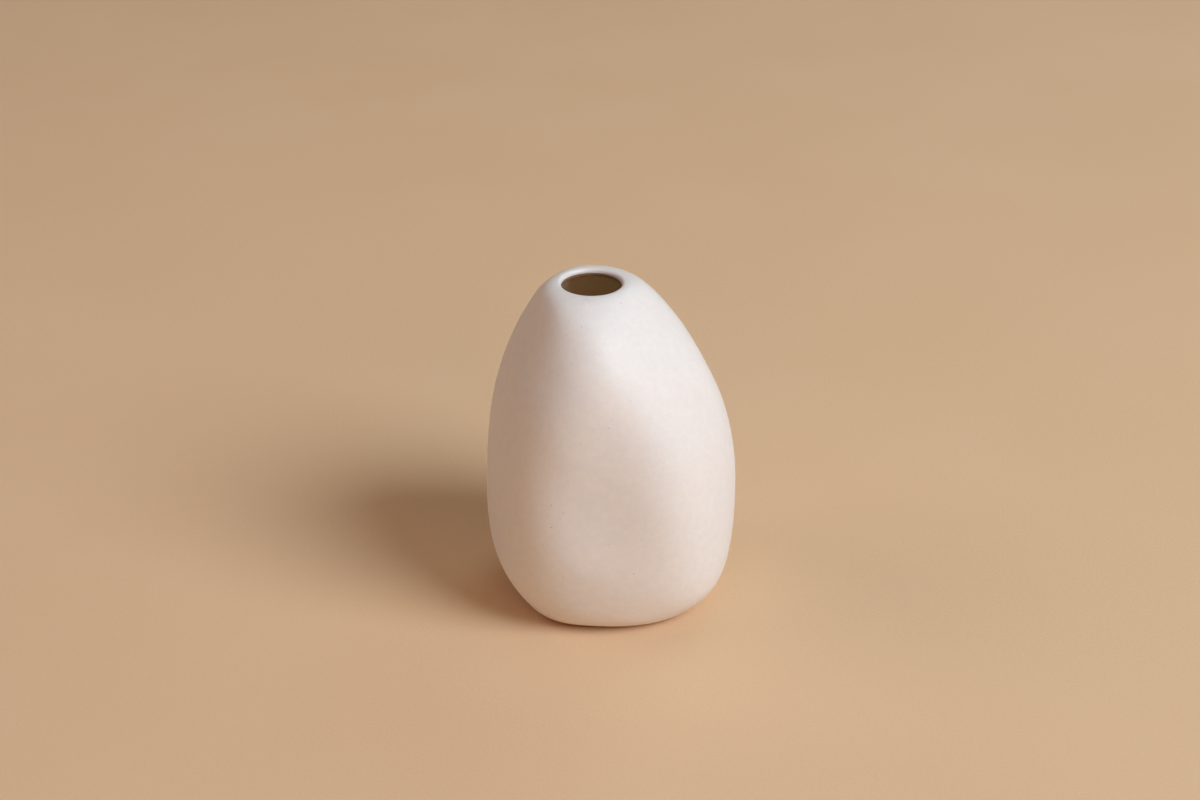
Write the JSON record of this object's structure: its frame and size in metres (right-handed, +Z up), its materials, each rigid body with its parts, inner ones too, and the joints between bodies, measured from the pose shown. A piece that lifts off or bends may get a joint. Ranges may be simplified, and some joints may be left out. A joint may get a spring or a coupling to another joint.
{
  "type": "pillow vase",
  "caption": "Small pebble-shaped flower vase in satin white glazed stoneware, with softly faceted sides, a flat front and a small round mouth set off centre.",
  "frame": {"origin": "middle of the vase's outline at the plane of its foot", "axes": "+Z up towards the mouth, -Y towards the flat front seen in the picture, +X to the viewer's right"},
  "size_m": [0.1098, 0.1068, 0.15],
  "materials": {
    "bare_clay": "bare fired stoneware, buff with fine dark specks, matt",
    "white_glaze": "satin-matt warm white with a few fine dark specks",
    "liner_glaze": "cream to buff liner glaze, soft gloss, burnt brown in the throat; all of it looks brown in the shade inside the vase"
  },
  "bodies": {
    "root": {"clay_body": "bare_clay", "outer_glaze": "white_glaze", "liner_glaze": "liner_glaze"}
  },
  "joints": []
}
